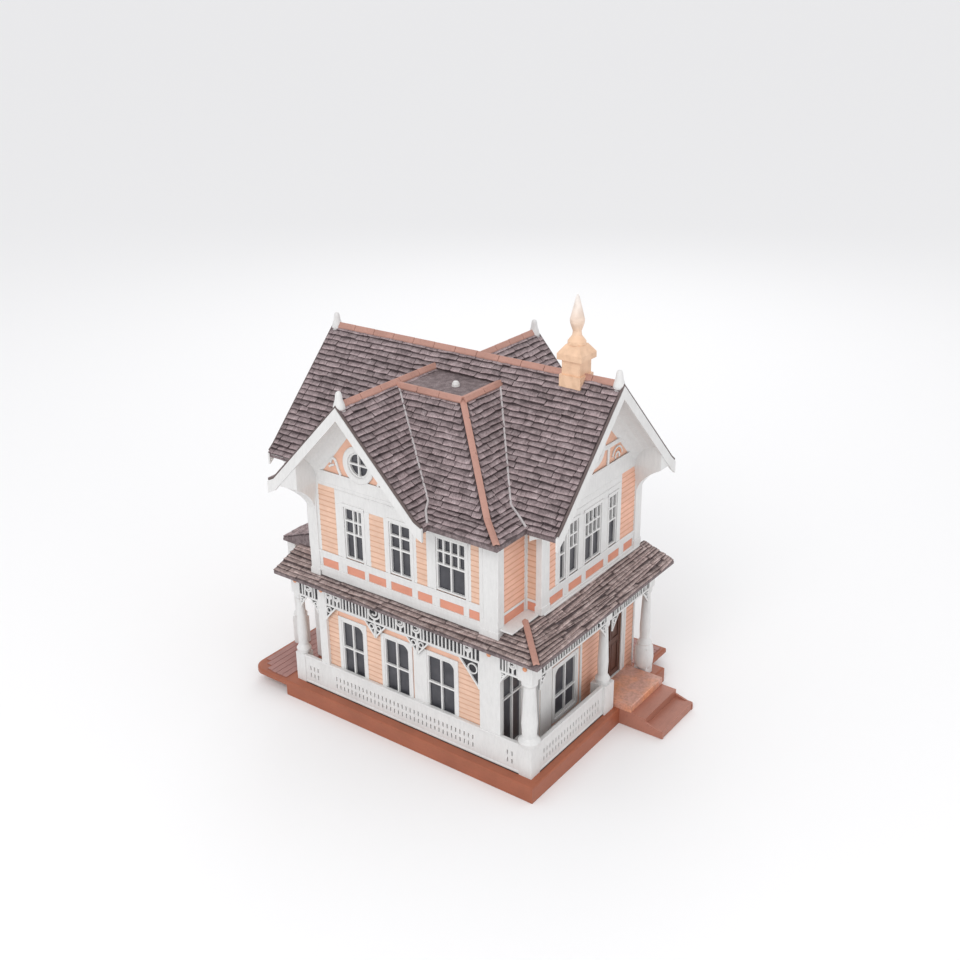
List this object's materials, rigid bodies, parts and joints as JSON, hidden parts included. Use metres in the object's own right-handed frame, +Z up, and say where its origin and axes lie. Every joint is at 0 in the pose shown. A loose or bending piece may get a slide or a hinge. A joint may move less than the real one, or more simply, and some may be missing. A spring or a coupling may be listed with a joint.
{
  "type": "wooden dollhouse",
  "caption": "Two-storey wooden dollhouse with a wrap-around porch, cross-gabled shingle roofs, a hipped corner tower, an open back and a hinged front door.",
  "frame": {"origin": "centre of the plinth's underside, where the house rests", "axes": "+Z up; the entrance steps face -Y; the long street side faces -X; the open back faces +X"},
  "size_m": [0.5355, 0.728, 0.775],
  "materials": {
    "base_paint": "satin painted wood",
    "trim_paint": "satin white painted wood",
    "wall_paint": "satin peach painted wood",
    "shingle": "matte stained wooden shingles",
    "ridge_tile": "matte painted wood",
    "pane": "dark glossy sheet",
    "door_paint": "satin painted wood",
    "chimney_paint": "satin painted wood",
    "floor_wood": "clear lacquered wood",
    "brass": "polished"
  },
  "bodies": {
    "house": {"attic_floor": "floor_wood", "back_gable_roof": "shingle", "balustrade_front": "trim_paint", "balustrade_west": "trim_paint", "chimney_finial": "chimney_paint", "chimney_stack": "chimney_paint", "deck_slab": "base_paint", "door_frame": "trim_paint", "east_corner_north": "wall_paint", "east_corner_south": "wall_paint", "frieze_front": "trim_paint", "frieze_west": "trim_paint", "front_gable_roof": "shingle", "front_steps": "base_paint", "gable_bargeboards": "trim_paint", "gable_finials": "trim_paint", "gable_ridge_caps": "ridge_tile", "ground_wall_front": "wall_paint", "ground_wall_tower": "wall_paint", "ground_wall_west": "wall_paint", "hinge_frame_leaves": "brass", "main_ridge_cap": "ridge_tile", "main_roof_east": "shingle", "main_roof_west": "shingle", "near_corner_post": "trim_paint", "pent_roof_front": "shingle", "pent_roof_west": "shingle", "plinth": "base_paint", "porch_brackets": "trim_paint", "porch_landing": "base_paint", "rear_porch_roof": "shingle", "rear_wall": "wall_paint", "right_corner_post": "trim_paint", "room_partitions": "wall_paint", "round_windows": "trim_paint", "side_windows": "trim_paint", "tower_hip_caps": "ridge_tile", "tower_knob": "trim_paint", "tower_roof": "shingle", "turned_posts": "trim_paint", "upper_floor": "floor_wood", "upper_wall_front": "wall_paint", "upper_wall_tower": "wall_paint", "upper_wall_west": "wall_paint", "west_pilasters": "trim_paint", "west_return": "wall_paint", "window_ground_front": "trim_paint", "window_ground_tower": "trim_paint", "window_ground_west_1": "trim_paint", "window_ground_west_2": "trim_paint", "window_ground_west_3": "trim_paint", "window_panes": "pane", "window_upper_front": "trim_paint", "window_upper_west_1": "trim_paint", "window_upper_west_2": "trim_paint", "window_upper_west_3": "trim_paint"},
    "door": {"front_door": "door_paint", "hinge_door_leaves": "brass", "door_knob": "brass"}
  },
  "joints": [
    {"name": "front_door_hinge", "type": "hinge", "parent": "house", "child": "door", "pos_m": [0.146, -0.2136, 0.13], "axis": [0, 0, -1], "range_deg": [0, 95]}
  ]
}
